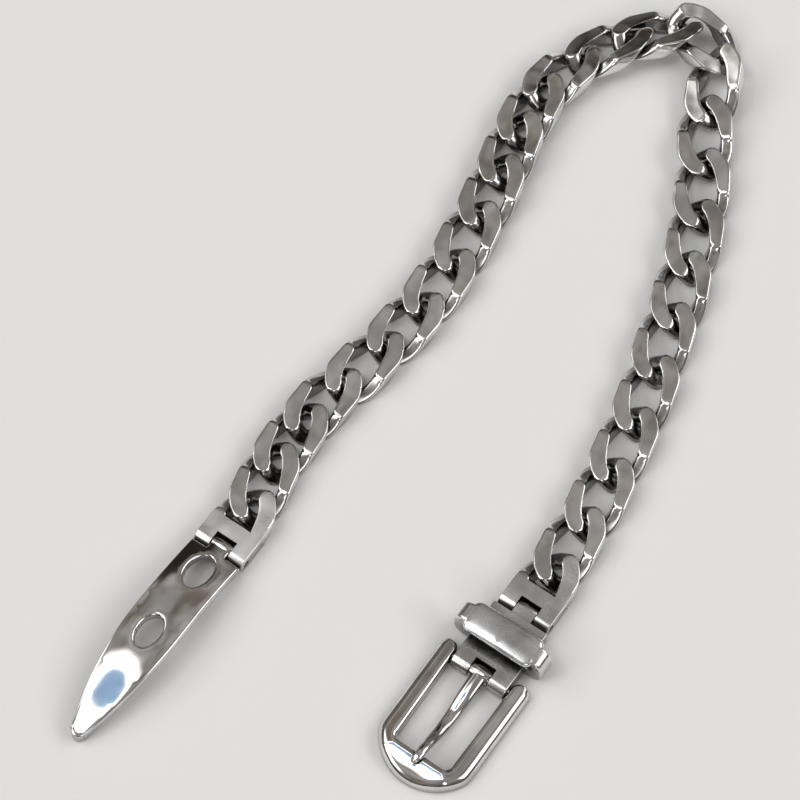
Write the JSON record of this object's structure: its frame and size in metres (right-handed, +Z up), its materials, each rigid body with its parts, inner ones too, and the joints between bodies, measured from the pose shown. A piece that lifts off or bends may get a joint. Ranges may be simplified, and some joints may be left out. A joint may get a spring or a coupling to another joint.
{
  "type": "chain bracelet",
  "caption": "Heavy flat curb-link chain bracelet lying open, with a clasp like a small belt buckle: arched tongue with oval holes, keeper loop, frame and prong.",
  "frame": {"origin": "middle of the bounding box in X and Y, on the surface that the bracelet lies on", "axes": "+Z up from the surface; +X to the right and +Y away from the viewer as the bracelet was pictured, the clasp's two free ends towards -Y"},
  "size_m": [0.08, 0.1018, 0.0052],
  "materials": {
    "chain_silver": "polished sterling silver, faint fine scratches",
    "clasp_silver": "polished sterling silver, faint fine scratches",
    "pin_silver": "polished sterling silver"
  },
  "bodies": {
    "chain": {"link_01": "chain_silver", "link_02": "chain_silver", "link_03": "chain_silver", "link_04": "chain_silver", "link_05": "chain_silver", "link_06": "chain_silver", "link_07": "chain_silver", "link_08": "chain_silver", "link_09": "chain_silver", "link_10": "chain_silver", "link_11": "chain_silver", "link_12": "chain_silver", "link_13": "chain_silver", "link_14": "chain_silver", "link_15": "chain_silver", "link_16": "chain_silver", "link_17": "chain_silver", "link_18": "chain_silver", "link_19": "chain_silver", "link_20": "chain_silver", "link_21": "chain_silver", "link_22": "chain_silver", "link_23": "chain_silver", "link_24": "chain_silver", "tongue_end": "chain_silver", "tongue_pin": "pin_silver", "buckle_end": "chain_silver", "plate_pin": "pin_silver"},
    "tongue_tip": {"tongue": "clasp_silver"},
    "plate": {"buckle_plate": "clasp_silver", "buckle_pin": "pin_silver"},
    "frame": {"buckle_frame": "clasp_silver"},
    "prong_arm": {"prong": "clasp_silver"}
  },
  "joints": [
    {"name": "tongue_hinge", "type": "hinge", "parent": "chain", "child": "tongue_tip", "pos_m": [-0.02317, -0.02129, 0.00112], "axis": [-0.8192, 0.5736, 0], "range_deg": [-80, 80]},
    {"name": "plate_hinge", "type": "hinge", "parent": "chain", "child": "plate", "pos_m": [0.01209, -0.02936, 0.00112], "axis": [-0.8192, 0.5736, 0], "range_deg": [-80, 80]},
    {"name": "frame_pivot", "type": "hinge", "parent": "plate", "child": "frame", "pos_m": [0.00679, -0.03694, 0.00112], "axis": [-0.8192, 0.5736, 0], "range_deg": [-80, 50]},
    {"name": "prong_pivot", "type": "hinge", "parent": "frame", "child": "prong_arm", "pos_m": [0.00679, -0.03694, 0.00112], "axis": [-0.8192, 0.5736, 0], "range_deg": [0, 50]}
  ]
}
